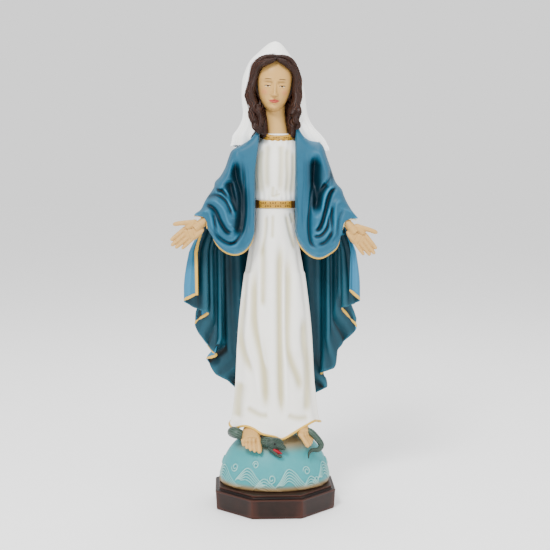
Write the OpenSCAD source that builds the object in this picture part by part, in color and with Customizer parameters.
// Standing figure in a mantle, on a globe and an octagonal plinth.
// Millimetres. The front faces -Y, the figure's right side is -X, and the felt rests on Z = 0.

/* [Plinth] */
// Width of the lower tier across its flats, at the top edge
plinth_w = 104; // [100:1:130]
// How much narrower the lower tier is at its foot
plinth_draft = 2; // [0.5:0.5:6]
// Height of the lower tier
plinth_h = 16.5; // [12:0.5:30]
// Ledge from the edge of the lower tier to the upper tier
tier_inset = 2.8; // [1.5:0.1:5]
// Height of the upper tier
tier_h = 2.9; // [2:0.1:8]
// Thickness of the felt pad
felt_t = 1; // [0.8:0.1:2]
// Border of bare plinth round the felt pad
felt_border = 5; // [3:0.5:12]

/* [Globe] */
// Width of the globe
globe_w = 95; // [84:1:97]
// Depth of the globe, front to back
globe_d = 78; // [70:1:92]
// Height from the plinth to the flat that the figure stands on
globe_h = 43; // [34:1:56]

/* [Figure] */
// Height of the figure, from the globe's flat to the top of the veil
figure_h = 338; // [280:1:420]
// Width of the skirt at its hem
hem_w = 80; // [70:1:96]
// Depth of the skirt at its hem
hem_d = 52; // [46:1:60]
// Width of the waist
waist_w = 40; // [34:1:48]
// Depth of the waist
waist_d = 28; // [24:1:34]
// Width of the chest
chest_w = 54; // [46:1:62]
// Depth of the chest
chest_d = 36; // [30:1:42]

/* [Mantle] */
// Greatest width of the mantle, across its two falls
mantle_w = 158; // [140:1:180]
// Thickness of the mantle
mantle_t = 3; // [2:0.1:5]
// Height of the lowest point of the mantle above the plinth's underside
mantle_low = 92; // [80:1:120]
// Depth of the folds down the back
fold_d = 2.2; // [0.5:0.1:3]

/* [Head] */
// Width of the head
head_w = 31; // [27:0.5:36]
// Height of the head, from chin to crown
head_h = 45; // [40:0.5:52]
// Depth of the head
head_d = 37; // [32:0.5:44]
// Diameter of the neck
neck_d = 16; // [13:0.5:20]
// How far the head leans to the figure's left, in degrees
head_tilt = 3; // [0:1:8]
// How far the face looks down, in degrees
head_bow = 6; // [0:1:12]
// Thickness of the hair over the skull
hair_t = 3.2; // [2:0.1:5]
// Width of the veil where it lies on the shoulders
veil_w = 82; // [70:1:90]
// Thickness of the veil
veil_t = 2.6; // [2:0.1:5]

/* [Hands] */
// Distance between the two wrists
wrist_span = 124; // [110:1:140]
// Length of a hand, from the wrist to the fingertips
hand_l = 35; // [28:1:42]
// Diameter of a wrist
wrist_d = 9; // [7:0.5:12]
// How far the wrists stand in front of the middle of the figure
wrist_reach = 28; // [24:1:34]

/* [Trim] */
// Height of the belt
belt_h = 7.5; // [5:0.5:10]
// How far the belt and the collar stand proud of the cloth
band_t = 1.4; // [1:0.1:2.5]
// Height of the collar
collar_h = 5.5; // [4:0.5:8]
// Diameter of the bead round the hem
bead_d = 2.4; // [1.6:0.1:3]

/* [Joints] */
// Diameter of the steel rod between globe and figure
rod_d = 6; // [4:0.5:8]
// Length of that rod
rod_l = 90; // [60:1:120]
// Diameter of the pins that hold the hands
pin_d = 2.5; // [2:0.25:3]
// Length of those pins
pin_l = 16; // [12:1:20]
// Diameter of the waist spigot
waist_peg_d = 14; // [10:1:18]
// Length of the waist spigot
waist_peg_l = 10; // [6:1:16]
// Diameter of the neck peg
neck_peg_d = 9; // [6:0.5:11]
// Length of the neck peg
neck_peg_l = 12; // [8:1:16]
// Shank diameter of the screw through the plinth
screw_d = 5; // [4:0.5:6]
// Length of that screw
screw_l = 30; // [25:1:40]
// Clearance all round a peg, a pin or a rod
peg_gap = 0.1; // [0.05:0.05:0.4]
// Clearance between one cast piece and the next
cast_gap = 0.4; // [0.2:0.1:0.8]

/* [Hidden] */

// Heights that one piece takes from the piece under it
felt_recess = felt_t - 0.3;
plinth_z = felt_t - felt_recess;
ledge_z = plinth_z + plinth_h;
globe_z = ledge_z + tier_h;
seat_z = globe_z + globe_h;
top_z = seat_z + figure_h;

// Levels of the figure, as shares of its height above the globe
belt_z = level(0.583);
collar_z = level(0.765);
shoulder_z = level(0.745);
wrist_z = level(0.541);
edge_z = level(0.337);
chin_z = level(0.826);

// Pieces that have to clear one another: the chest under the mantle, the head under the veil
chest_span = min(chest_w, mantle_w / 2 - 25.8);
veil_span = max(veil_w, 2.64 * head_w);

// The globe is an ellipsoid: its widest level, its flat top's share of its width, its rise
globe_tuck = 4;
seat_share = 0.5;
globe_rise = (globe_h - globe_tuck) / sqrt(1 - seat_share * seat_share);
globe_steps = 9;

// Folds round the skirt, and points round a ring
pleats = 13;
pleat_d = 1.1;
round_n = 78;
skirt_levels = 18;
mantle_cols = 44;
mantle_rows = 15;

// ---- numbers ----
function level(share) = seat_z + figure_h * share;
function mix(a, b, t) = a + (b - a) * t;
function unit(t) = min(1, max(0, t));
function ease(t) = unit(t) * unit(t) * (3 - 2 * unit(t));
function share_of(z) = (z - seat_z) / figure_h;
function oval(w, d, front, a) = [w * cos(a), (sin(a) < 0 ? front : d) * sin(a)];

// Height of the globe's surface over a point of its plan
function globe_top(x, y) =
    let (out = pow(2 * x / globe_w, 2) + pow(2 * y / globe_d, 2))
    globe_z + globe_tuck + globe_rise * sqrt(max(0, 1 - out));

// ---- solids ----
// Closed solid through a stack of rings, each with the same number of points
module loft(rings) {
    n = len(rings[0]);
    m = len(rings);
    low = [for (k = [0 : 2]) mean([for (p = rings[0]) p[k]])];
    high = [for (k = [0 : 2]) mean([for (p = rings[m - 1]) p[k]])];
    points = concat([for (ring = rings) each ring], [low, high]);
    walls = [for (j = [0 : m - 2], i = [0 : n - 1])
        let (a = j * n + i, b = j * n + (i + 1) % n)
        each [[a, a + n, b], [b, a + n, b + n]]];
    foot = [for (i = [0 : n - 1]) [i, (i + 1) % n, m * n]];
    roof = [for (i = [0 : n - 1]) let (s = (m - 1) * n) [s + i, m * n + 1, s + (i + 1) % n]];
    polyhedron(points, concat(walls, foot, roof));
}

function mean(v) = v * [for (i = v) 1] / len(v);

// Closed solid through a stack of strips: each ring runs out along one face and back along the other
module strip_loft(rings) {
    n = len(rings[0]);
    m = len(rings);
    half = n / 2;
    points = [for (ring = rings) each ring];
    walls = [for (j = [0 : m - 2], i = [0 : n - 1])
        let (a = j * n + i, b = j * n + (i + 1) % n)
        each [[a, a + n, b], [b, a + n, b + n]]];
    foot = [for (i = [0 : half - 2])
        each [[i, i + 1, n - 1 - i], [i + 1, n - 2 - i, n - 1 - i]]];
    top = (m - 1) * n;
    roof = [for (i = [0 : half - 2])
        each [[top + i, top + n - 1 - i, top + i + 1], [top + i + 1, top + n - 1 - i, top + n - 2 - i]]];
    polyhedron(points, concat(walls, foot, roof));
}

// Round bar of changing radius along a route, each stop being [x, y, z, radius]
module bar(stops, sides = 12, squash = 1) {
    last = len(stops) - 1;
    rings = [for (k = [0 : last])
        let (
            before = stops[max(0, k - 1)],
            after = stops[min(last, k + 1)],
            way = [for (i = [0 : 2]) after[i] - before[i]],
            along = way / norm(way),
            side = cross(along, abs(along[2]) > 0.8 ? [0, 1, 0] : [0, 0, 1]),
            across = side / norm(side),
            up = cross(across, along)
        )
        [for (i = [0 : sides - 1])
            let (a = -360 * i / sides)
            [for (q = [0 : 2]) stops[k][q] + stops[k][3] * (cos(a) * across[q] + squash * sin(a) * up[q])]]];
    loft(rings);
}

// Octagonal block through a list of [width across the flats, height]
module octagon(levels) {
    loft([for (s = levels)
        [for (i = [0 : 7])
            let (a = 22.5 + 45 * i, r = s[0] / 2 / cos(22.5))
            [r * cos(a), r * sin(a), s[1]]]]);
}

// ---- plinth ----
module plinth() {
    tier_w = plinth_w - 2 * tier_inset;
    color("#3b2a26")
        difference() {
            octagon([
                [plinth_w - plinth_draft, plinth_z],
                [plinth_w, ledge_z],
                [tier_w, ledge_z],
                [tier_w - 1, ledge_z + tier_h]
            ]);
            translate([0, 0, plinth_z - 1])
                rotate([0, 0, 22.5])
                    linear_extrude(height = felt_recess + 1)
                        circle(d = (felt_w() + 2 * peg_gap) / cos(22.5), $fn = 8);
            // Screw hole and its countersink
            translate([0, 0, felt_t])
                rotate_extrude($fn = 48)
                    polygon([[0, -0.5], [screw_d + 0.5 + peg_gap, -0.5],
                        [screw_d / 2 + peg_gap, screw_d / 2],
                        [screw_d / 2 + peg_gap, plinth_h + tier_h + 1], [0, plinth_h + tier_h + 1]]);
        }
}

function felt_w() = plinth_w - plinth_draft - 2 * felt_border;

module base_felt() {
    color("#3d5a45")
        rotate([0, 0, 22.5])
            linear_extrude(height = felt_t)
                circle(d = felt_w() / cos(22.5), $fn = 8);
}

module plinth_screw() {
    color("silver")
        translate([0, 0, felt_t]) {
            cylinder(h = screw_d / 2, d1 = 2 * screw_d, d2 = screw_d, $fn = 48);
            translate([0, 0, screw_d / 2]) cylinder(h = screw_l - screw_d / 2, d = screw_d, $fn = 48);
        }
}

// ---- globe ----
module globe() {
    flat_a = acos(seat_share);
    rings = concat(
        [[for (i = [0 : 47])
            let (a = 7.5 * i, p = oval(globe_w / 2, globe_d / 2, globe_d / 2, a))
            [0.95 * p[0], 0.95 * p[1], globe_z]]],
        [for (k = [0 : globe_steps])
            let (e = flat_a * k / globe_steps)
            [for (i = [0 : 47])
                let (a = 7.5 * i)
                [
                    globe_w / 2 * cos(e) * cos(a),
                    globe_d / 2 * cos(e) * sin(a),
                    globe_z + globe_tuck + globe_rise * sin(e)
                ]]]
    );
    rod_in = rod_l / 3;
    color("#7fbcbc")
        difference() {
            loft(rings);
            translate([0, 0, globe_z - 1])
                cylinder(h = felt_t + screw_l - globe_z + 1 + peg_gap, d = screw_d + 2 * peg_gap, $fn = 48);
            translate([0, 0, seat_z - rod_in])
                cylinder(h = rod_in + 1, d = rod_d + 2 * peg_gap, $fn = 48);
        }
}

module core_rod() {
    color("silver") translate([0, 0, seat_z - rod_l / 3]) cylinder(h = rod_l, d = rod_d, $fn = 48);
}

// ---- skirt ----
// Half width, front depth and back depth of the skirt at a height
function skirt_share(z) = lookup((z - seat_z) / (belt_z - seat_z),
    [[0, 1], [0.2, 0.86], [0.45, 0.68], [0.7, 0.45], [0.86, 0.26], [1, 0]]);
function skirt_half(z) = mix(waist_w, hem_w, skirt_share(z)) / 2;
function skirt_front(z) = mix(waist_d, hem_d, skirt_share(z)) / 2;
function skirt_back(z) = mix(waist_d, hem_d, skirt_share(z)) / 2 - 1.5;

// Height of the hem round the skirt, from the lifted corners to the dip between the feet
function hem_rise(a) = sin(a) > 0
    ? mix(5, 1, sin(a))
    : lookup(cos(a), [[-1, 5], [-0.85, 2.5], [-0.6, 7], [-0.38, 5], [-0.22, 0.5],
        [0.1, -1.5], [0.25, -2.5], [0.45, 2], [0.68, 7], [0.9, 8], [1, 7]]);

function skirt_point(a, z, inset = 0) =
    let (
        wave = pleat_d * ease((belt_z - z) / 40) * cos(pleats * a + 40 * share_of(z)),
        grow = wave - inset,
        p = oval(skirt_half(z) + grow, skirt_back(z) + grow, skirt_front(z) + grow, a)
    )
    [p[0], p[1], z];

function hem_point(a, inset = 0) = skirt_point(a, seat_z + hem_rise(a), inset);

module tunic_skirt() {
    wall = 3;
    angles = [for (i = [0 : round_n - 1]) 360 * i / round_n];
    // Underside, from the flat that stands on the globe out to the hem
    under = [for (s = [0.42, 0.5, 0.6, 0.72, 0.84])
        [for (a = angles)
            let (p = hem_point(a, wall), q = [p[0] * s, p[1] * s])
            [q[0], q[1], s < 0.45 ? seat_z : max(p[2] + 1.5, globe_top(q[0], q[1]) + cast_gap, seat_z)]]];
    lip = [for (a = angles)
        let (p = hem_point(a, wall))
        [p[0], p[1], max(p[2] + 1, globe_top(p[0], p[1]) + cast_gap)]];
    walls = [for (k = [0 : skirt_levels])
        [for (a = angles)
            let (foot = seat_z + hem_rise(a), z = mix(foot, belt_z, k / skirt_levels))
            skirt_point(a, z)]];
    rod_up = rod_l * 2 / 3;
    color("#f4f3ea")
        difference() {
            loft(concat(under, [lip], walls));
            translate([0, 0, seat_z - 5])
                cylinder(h = rod_up + 5 + peg_gap, d = rod_d + 2 * peg_gap, $fn = 48);
            translate([0, 0, belt_z - waist_peg_l - peg_gap])
                cylinder(h = waist_peg_l + 1, d = waist_peg_d + 2 * peg_gap, $fn = 48);
        }
}

// Gold bead that runs round the front of the hem, against its outside
module skirt_trim() {
    first = 182;
    last = 358;
    count = 44;
    reach = -bead_d / 2 - cast_gap / 4;
    route = [for (i = [0 : count])
        let (a = mix(first, last, i / count), p = hem_point(a, reach))
        [p[0], p[1], p[2] + bead_d / 2, bead_d / 2]];
    color("#d8b45a") bar(route, 8);
}

// ---- bodice ----
bodice_shape = [[0, 0], [0.12, 0.18], [0.35, 0.72], [0.6, 1], [0.8, 0.95], [0.92, 0.55], [1, 0.1]];
function bodice_share(z) = lookup((z - belt_z) / (collar_z - belt_z), bodice_shape);
function bodice_half(z) = mix(waist_w, chest_span, bodice_share(z)) / 2;
function bodice_deep(z) = mix(waist_d, chest_d, bodice_share(z)) / 2;

module tunic_bodice() {
    steps = 14;
    rings = [for (k = [0 : steps])
        let (z = mix(belt_z, collar_z, k / steps), wave = 0.5)
        [for (i = [0 : 59])
            let (
                a = 6 * i,
                w = wave * cos(20 * a) * ease((z - belt_z) / 10) * (sin(a) < 0 ? 1 : 0.3),
                p = oval(bodice_half(z) + w, bodice_deep(z) - 3 + w, bodice_deep(z) + w, a)
            )
            [p[0], p[1], z]]];
    color("#f4f3ea")
        union() {
            difference() {
                loft(rings);
                translate([0, neck_y, collar_z - neck_peg_l - peg_gap])
                    cylinder(h = neck_peg_l + 1, d = neck_peg_d + 2 * peg_gap, $fn = 48);
            }
            translate([0, 0, belt_z - waist_peg_l])
                cylinder(h = waist_peg_l + 1, d = waist_peg_d, $fn = 48);
        }
}

// Band round an oval body: each level is [height, half width, front depth, back depth, thickness]
module band(levels, first, last, steps) {
    strip_loft([for (s = levels)
        concat(
            [for (i = [0 : steps])
                let (p = oval(s[1], s[3], s[2], mix(first, last, i / steps)))
                [p[0], p[1], s[0]]],
            [for (i = [steps : -1 : 0])
                let (p = oval(s[1] + s[4], s[3] + s[4], s[2] + s[4], mix(first, last, i / steps)))
                [p[0], p[1], s[0]]]
        )]);
}

// The belt lies on the front of the waist and ends under the mantle's two lapels
module belt() {
    levels = [for (z = [belt_z, belt_z + belt_h / 2, belt_z + belt_h])
        [z, bodice_half(z) + cast_gap, bodice_deep(z) + cast_gap + 0.5, bodice_deep(z) + cast_gap, band_t]];
    color("#d8b45a") band(levels, 356, 184, 28);
}

neck_y = 2;
collar_half = neck_d / 2 + 9.5;

// Embossed neck band: a flat ring that dips at the front
module collar() {
    steps = 48;
    inner = [for (i = [0 : steps - 1]) let (a = 360 * i / steps)
        [(collar_half - 5) * cos(a), 0.95 * (collar_half - 5) * sin(a) + neck_y - 1]];
    outer = [for (i = [0 : steps - 1]) let (a = 360 * i / steps)
        [collar_half * cos(a), 0.92 * collar_half * sin(a) + neck_y - 1]];
    foot = collar_z + cast_gap / 4;
    color("#d8b45a")
        strip_ring([
            for (i = [0 : steps - 1]) [
                [inner[i][0], inner[i][1], foot],
                [outer[i][0], outer[i][1], foot],
                [outer[i][0], outer[i][1], foot + band_t],
                [inner[i][0], inner[i][1], foot + band_t + collar_h / 2]
            ]
        ]);
}

// Closed ring through a run of four-cornered sections
module strip_ring(sections) {
    n = len(sections);
    points = [for (s = sections) each s];
    faces = [for (i = [0 : n - 1], c = [0 : 3])
        let (
            d = (c + 1) % 4,
            next = 4 * ((i + 1) % n),
            a = 4 * i + c,
            b = 4 * i + d,
            e = next + c,
            f = next + d
        )
        each [[a, b, e], [b, f, e]]];
    polyhedron(points, faces);
}

// ---- mantle ----
// Half width of the mantle by height, as shares of its greatest half width
mantle_shape = [
    [0.09, 1], [0.45, 1.01], [0.505, 1], [0.541, 0.92], [0.562, 0.86], [0.592, 0.77],
    [0.618, 0.69], [0.666, 0.59], [0.695, 0.54], [0.72, 0.48], [0.74, 0.38], [0.765, 0.28]
];
function mantle_half(z) = mantle_w / 2 * lookup(share_of(z), mantle_shape);

// The mantle's inner face: behind the body in the middle, forward to its two edges
function mantle_mid(z) = max(hem_d, chest_d) / 2 + 2
    - 9 * ease(share_of(z) - 0.05)
    - 4 * ease((share_of(z) - 0.6) * 6);
function mantle_edge(z) = lookup(share_of(z), [[0.1, 4], [0.34, -6], [0.54, -14], [0.62, -4], [0.77, 2]]);
function mantle_inner(u, z) = mix(mantle_mid(z), mantle_edge(z), pow(abs(u), 2.4));
function mantle_foot(u) = mix(mantle_low, edge_z, pow(abs(u), 2.1));

module mantle_back() {
    us = [for (i = [0 : mantle_cols]) -1 + 2 * i / mantle_cols];
    head_line = shoulder_z - 2;
    rings = [for (k = [0 : mantle_rows])
        let (t = k / mantle_rows)
        concat(
            [for (u = us) mantle_point(u, mix(mantle_foot(u), head_line, t), 0)],
            [for (i = [mantle_cols : -1 : 0])
                mantle_point(us[i], mix(mantle_foot(us[i]), head_line, t), mantle_t)]
        )];
    color("#3f7d99") strip_loft(rings);
}

function mantle_point(u, z, thick) =
    let (
        fold = fold_d * cos(900 * u) * ease((shoulder_z - z) / 60),
        half = mantle_half(z)
    )
    [u * (half + (thick > 0 ? thick / 2 : 0)), mantle_inner(u, z) + fold_d + fold + thick, z];

// Outline of the part over one arm, by height: nearest and farthest distance from the middle,
// and the front face there
arm_shape = [
    [0.447, 29, 45, 25], [0.46, 25, 50, 28], [0.49, 19, 57, 33], [0.515, 18, 63, 37],
    [0.541, 18, 71, 38], [0.575, 18, 66, 36], [0.618, 18, 53, 31], [0.666, 18, 45, 26],
    [0.71, 19, 39, 22], [0.74, 20, 30, 17], [0.76, 21, 25, 12]
];
shape_w = 158;
function arm_size(z, k) = lookup(share_of(z), [for (r = arm_shape) [r[0], r[k]]]);
function arm_in(z) = arm_size(z, 1);
function arm_out(z) = min(arm_size(z, 2) * mantle_w / shape_w, mantle_half(z) - 1);
function arm_front(z) = arm_size(z, 3);

// Half width and depth of what lies under the mantle at a height
function core_half(z) = z < belt_z ? skirt_half(z) + pleat_d : max(bodice_half(z), waist_w / 2 + 0.5) + 0.5;
function core_front(z) = z < belt_z ? skirt_front(z) + pleat_d : bodice_deep(z) + 0.5;
function core_y(x, z, off) = -(core_front(z) + off) * sqrt(max(0, 1 - pow(x / (core_half(z) + off), 2)));

function arm_back(x, z) =
    let (
        behind = mantle_inner(x / mantle_half(z), z) - cast_gap,
        hollow = -11,
        free = z < belt_z ? hollow : behind
    )
    mix(free, behind, ease((z - wrist_z) / 30));

// Section of the part over one arm, as distances from the middle and depths
function arm_ring(z) =
    let (
        a = arm_in(z),
        b = arm_out(z),
        n = 11,
        skin = cast_gap + band_t + 0.4,
        inner = core_half(z) + skin,
        body_x = [for (i = [0 : n]) mix(a, min(b - 3, max(a + 1, inner)), i / n)]
    )
    concat(
        [for (x = body_x) [x, min(core_y(x, z, skin), arm_back(x, z) - 1), z]],
        [for (i = [1 : n]) let (x = mix(body_x[n], b, i / n)) [x, arm_back(x, z), z]],
        [for (i = [n : -1 : 0])
            let (
                t = i / n,
                bulge = 3 * sin(180 * t),
                lapel = max(core_front(z) + skin + mantle_t, arm_front(z) - 8)
            )
            [mix(a, b, t) + (i == n ? 0.6 : 0), -mix(lapel, arm_front(z), t) - bulge, z]]
    );

module mantle_arm() {
    steps = 19;
    difference() {
        loft([for (k = [steps : -1 : 0]) arm_ring(mix(level(arm_shape[0][0]), level(0.748), k / steps))]);
        cuff_place() translate([-cuff_l, 0, 0]) rotate([0, 90, 0])
            cylinder(h = cuff_l + 25, d = cuff_d + 2 * cast_gap, $fn = 48);
    }
}

module mantle_right() {
    color("#3f7d99") mirror([1, 0, 0]) mantle_arm();
}

module mantle_left() {
    color("#3f7d99") mantle_arm();
}

// ---- cuffs and hands ----
cuff_l = 12;
cuff_d = wrist_d + 5;
hand_drop = 40;
hand_out = 12;

// Moves a piece drawn along +X from the wrist to the left wrist, pointing outward and down
module cuff_place() {
    translate([wrist_span / 2, -wrist_reach, wrist_z]) rotate([0, hand_drop, -hand_out]) children();
}

// Round bar along X from a start point
module lying(from, long, d_start, d_end) {
    translate([from, 0, 0]) rotate([0, 90, 0]) cylinder(h = long, d1 = d_start, d2 = d_end, $fn = 48);
}

module cuff() {
    cuff_place()
        difference() {
            lying(-cuff_l, cuff_l, cuff_d - 1, cuff_d);
            lying(-2.5, 4, wrist_d + 2 * cast_gap, wrist_d + 2 * cast_gap);
            lying(-pin_l / 2 - 2, pin_l, pin_d + 2 * peg_gap, pin_d + 2 * peg_gap);
        }
}

module right_cuff() {
    color("#f0e6c8") mirror([1, 0, 0]) cuff();
}

module left_cuff() {
    color("#f0e6c8") cuff();
}

// Open hand along +X, palm to the front, thumb up; lengths are shares of the hand's length
fingers = [
    // start across the palm, length, spread angle, thickness
    [0.13, 0.40, 10, 0.052],
    [0.05, 0.45, 3, 0.055],
    [-0.04, 0.43, -3, 0.053],
    [-0.125, 0.34, -10, 0.047]
];

// along the hand, across it, radius
thumb = [[0.14, 0.06, 0.07], [0.3, 0.2, 0.068], [0.5, 0.29, 0.058], [0.66, 0.34, 0.05], [0.72, 0.355, 0.025]];

module hand_shape() {
    palm = 0.52;
    union() {
        bar([for (s = [[0, 0.125], [0.12, 0.12], [0.28, 0.17], [0.42, 0.19], [palm, 0.175], [palm + 0.04, 0.1]])
            [s[0] * hand_l, 0, 0, s[1] * hand_l]], 16, 0.64);
        for (f = fingers)
            bar([for (s = [-0.1, 0.25, 0.6, 0.9, 1])
                let (reach = s * f[1] * hand_l, r = f[3] * hand_l * (s == 1 ? 0.45 : 1 - 0.15 * s))
                [
                    palm * hand_l + reach * cos(f[2]),
                    -0.05 * reach * s,
                    f[0] * hand_l + reach * sin(f[2]),
                    r
                ]], 8);
        bar([for (s = thumb)
            [s[0] * hand_l, -0.04 * hand_l * s[0], s[1] * hand_l, s[2] * hand_l]], 8);
    }
}

module hand() {
    cuff_place()
        translate([-2, 0, 0])
            difference() {
                hand_shape();
                lying(-1, pin_l / 2 + 1, pin_d + 2 * peg_gap, pin_d + 2 * peg_gap);
            }
}

module right_hand() {
    color("#d4bc8c") mirror([1, 0, 0]) hand();
}

module left_hand() {
    color("#d4bc8c") hand();
}

module hand_dowels() {
    color("silver")
        for (side = [0, 1])
            mirror([side, 0, 0]) cuff_place() lying(-pin_l / 2 - 2, pin_l, pin_d, pin_d);
}

// ---- feet and serpent ----
foot_w = 8.5;

// Bare foot along -Y from under the hem, its sole on the globe
module foot_at(x, turn, heel_z) {
    stops = [
        [0, 0, 4], [3, 0.3, 4.6], [8, 2.2, 4.6], [13, 6.5, 4.4], [17, 11, 4.2], [19.5, 14, 3.2], [21, 15.6, 1.6]
    ];
    translate([x, -16, heel_z]) rotate([0, 0, turn])
        bar([for (s = stops) [0, -s[0], -s[1], s[2] * foot_w / 8.5]], 14, 0.85);
}

module right_foot() {
    color("#d4bc8c") foot_at(-20, -8, seat_z + 1.1);
}

module left_foot() {
    color("#d4bc8c") foot_at(25, 14, seat_z - 0.6);
}

snake_r = 3.4;

// A stop of the serpent's route that lies on the globe, off its surface by its own radius
function on_globe(x, y, r, lift = 0) =
    let (
        z = globe_top(x, y),
        up = z - globe_z - globe_tuck,
        slope = [x / pow(globe_w / 2, 2), y / pow(globe_d / 2, 2), up / pow(globe_rise, 2)],
        off = (r * 1.05 + cast_gap + lift) / norm(slope)
    )
    [x + slope[0] * off, y + slope[1] * off, z + slope[2] * off, r];

module serpent_body() {
    route = [[-28, 6], [-30.5, 1], [-32, -4], [-32, -8.5], [-30, -13], [-27.5, -16]];
    color("#3a4a40") bar([for (p = route) on_globe(p[0], p[1], snake_r)], 12);
}

module serpent_head() {
    color("#3a4a40")
        bar([
            on_globe(-11, -24.5, 2.4),
            on_globe(-8.5, -25.5, 2.8),
            on_globe(-5, -27, 2.9, 0.2),
            on_globe(-1, -28.5, 3.6, 0.3),
            on_globe(3, -29.5, 3.7, 0.2),
            on_globe(7, -30.5, 3),
            on_globe(10, -31, 1.7)
        ], 14, 0.9);
}

module serpent_tail() {
    route = [
        [30, -11, 2.5], [33, -12, 2.4], [36, -13, 2.3], [37.5, -15.5, 2.1], [35.5, -19, 1.9], [31.5, -23, 1.6],
        [28.5, -26.5, 1.3], [27.5, -28.5, 0.7]];
    color("#3a4a40") bar([for (p = route) on_globe(p[0], p[1], p[2])], 10);
}

// ---- head ----
head_y = 0;

// Turns the head, its hair and its veil together about the top of the neck
module head_pose() {
    translate([0, neck_y, chin_z])
        rotate([head_bow, head_tilt, 0])
            translate([0, -neck_y, -chin_z]) children();
}

// Head by height, as shares: height, half width, depth forward, depth back
head_shape = [
    [0, 0.2, 0.7, 0.1], [0.04, 0.42, 0.84, 0.2], [0.12, 0.62, 0.92, 0.42], [0.25, 0.8, 0.95, 0.72],
    [0.42, 0.95, 0.97, 0.95], [0.6, 1, 0.98, 1], [0.78, 0.92, 0.88, 0.93], [0.9, 0.68, 0.62, 0.68],
    [0.97, 0.38, 0.34, 0.36], [1, 0.12, 0.1, 0.1]
];
function head_size(t, k) = (k == 1 ? head_w : head_d) / 2 * lookup(t, [for (r = head_shape) [r[0], r[k]]]);

module skull(grow = 0) {
    levels = [0, 0.04, 0.12, 0.25, 0.34, 0.42, 0.52, 0.6, 0.7, 0.78, 0.85, 0.9, 0.94, 0.97, 1];
    loft([for (t = levels)
        [for (i = [0 : 31])
            let (
                a = 360 * i / 32,
                p = oval(head_size(t, 1) + grow, head_size(t, 3) + grow, head_size(t, 2) + grow, a)
            )
            [p[0], p[1] + head_y, chin_z + head_h * t + (t > 0.5 ? grow : 0)]]]);
}

// Head and neck, with a peg that plugs into the bodice
module head() {
    color("#d4bc8c")
        union() {
            head_pose() skull();
            bar([for (s = [[0, 1.2], [0.12, 1.02], [0.4, 0.95], [0.8, 0.95], [1, 0.9]])
                [0, neck_y, mix(collar_z + cast_gap, chin_z + head_h * 0.3, s[0]), s[1] * neck_d / 2]], 20);
            translate([0, neck_y, collar_z - neck_peg_l])
                cylinder(h = neck_peg_l + 3, d = neck_peg_d, $fn = 48);
        }
}

// Hair over the skull: a cap that is open at the face and ends at the nape
module hair_cap() {
    color("#3a2620")
        head_pose()
            resize([head_w + 2 * hair_t, 0, 0])
                difference() {
                    skull(hair_t);
                    skull(cast_gap / 2);
                    // Opening for the face, from ear to ear and up to the hairline
                    translate([0, head_y - head_d / 2 - 1, chin_z + head_h * 0.36])
                        scale([0.8 * head_w, head_d * 0.9, head_h * 1.06]) sphere(d = 1, $fn = 40);
                    // Room for the two locks, in front of the ears
                    translate([0, head_y - head_d / 2, chin_z])
                        cube([2 * head_w, 0.8 * head_d, 1.16 * head_h], center = true);
                    // Everything below the nape
                    translate([0, head_y, chin_z + 0.2 * head_h - head_w])
                        cube([2 * head_w, 3 * head_d, 2 * head_w], center = true);
                }
}

// Long lock from the temple down in front of the shoulder
lock_route = [
    // across, forward, share of the way down from the temple to the collar, radius
    [17.5, -9, 0, 1.8], [18, -9.5, 0.18, 2.6], [17, -8.5, 0.36, 3.2], [15.4, -8, 0.54, 3.2],
    [14.4, -10, 0.72, 3.2], [14.5, -13, 0.88, 2.6], [13.6, -15.5, 1, 1.2]
];

module lock_of_hair() {
    temple_z = chin_z + head_h * 0.52;
    tip_z = collar_z + 2;
    bar([for (s = lock_route)
        [s[0] * head_w / 31 + hair_t / 2, s[1], mix(temple_z, tip_z, s[2]), s[3]]], 10);
}

module right_lock() {
    color("#3a2620") mirror([1, 0, 0]) lock_of_hair();
}

module left_lock() {
    color("#3a2620") lock_of_hair();
}

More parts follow.
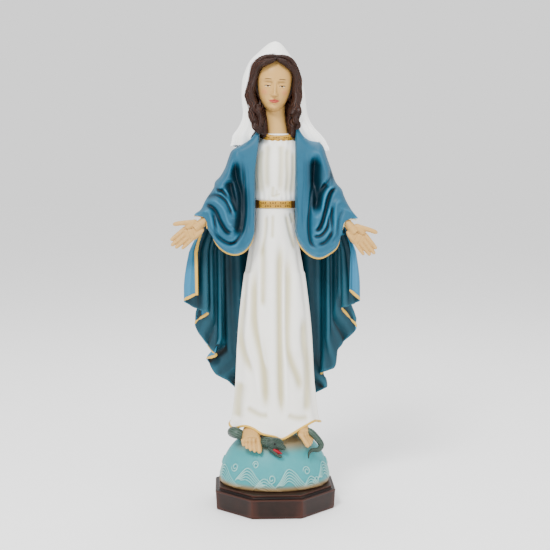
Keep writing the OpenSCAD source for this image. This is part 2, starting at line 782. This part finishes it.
// ---- veil ----
// Half width, front depth and back depth of the veil by height, as shares of its own height
veil_foot = level(0.742);
veil_shape = [
    [0, 41, 16, 22], [0.1, 36, 17, 22], [0.2, 31, 18, 22], [0.35, 28.5, 19, 22], [0.55, 28, 20, 23],
    [0.72, 26.5, 20.5, 23],
    [0.84, 23.8, 19.5, 21], [0.92, 17.8, 16.5, 16.5], [0.97, 11, 11, 10.5], [1, 3, 3, 3]
];
function veil_size(t, k) = lookup(t, [for (r = veil_shape) [r[0], r[k]]]);
function veil_ring(t, inset) =
    [for (i = [0 : 47])
        let (p = oval(veil_size(t, 1) - inset, veil_size(t, 3) - inset, veil_size(t, 2) - inset, 7.5 * i))
        [p[0], p[1] + neck_y, mix(veil_foot, top_z, t) - (inset > 0 ? inset * ease((t - 0.6) / 0.4) : 0)]];

module veil_form(inset, from) {
    levels = [from, 0.1, 0.2, 0.35, 0.48, 0.6, 0.72, 0.8, 0.86, 0.92, 0.96, 0.985, 1];
    loft([for (t = levels) veil_ring(t, inset)]);
}

module veil() {
    face_top = chin_z + head_h + hair_t;
    right_side = [
        [30, veil_foot - 2], [25.5, veil_foot + 20], [22.5, face_top - 32],
        [20, face_top - 14], [14, face_top - 4], [6, face_top + 0.5]
    ];
    left_side = [for (i = [5 : -1 : 0]) [-right_side[i][0], right_side[i][1]]];
    color("#fbfaf6")
        resize([veil_span, 0, 0])
            difference() {
                veil_form(0, 0);
                veil_form(veil_t, -0.02);
                // Opening for the face and the locks
                translate([0, -30, 0])
                    rotate([-90, 0, 0])
                        linear_extrude(height = 40)
                            polygon([for (p = concat(right_side, left_side)) [p[0], -p[1]]]);
            }
}

plinth();
base_felt();
plinth_screw();
globe();
core_rod();
serpent_body();
serpent_head();
serpent_tail();
right_foot();
left_foot();
tunic_skirt();
skirt_trim();
tunic_bodice();
belt();
collar();
mantle_back();
mantle_right();
mantle_left();
right_cuff();
left_cuff();
right_hand();
left_hand();
hand_dowels();
head();
hair_cap();
right_lock();
left_lock();
veil();
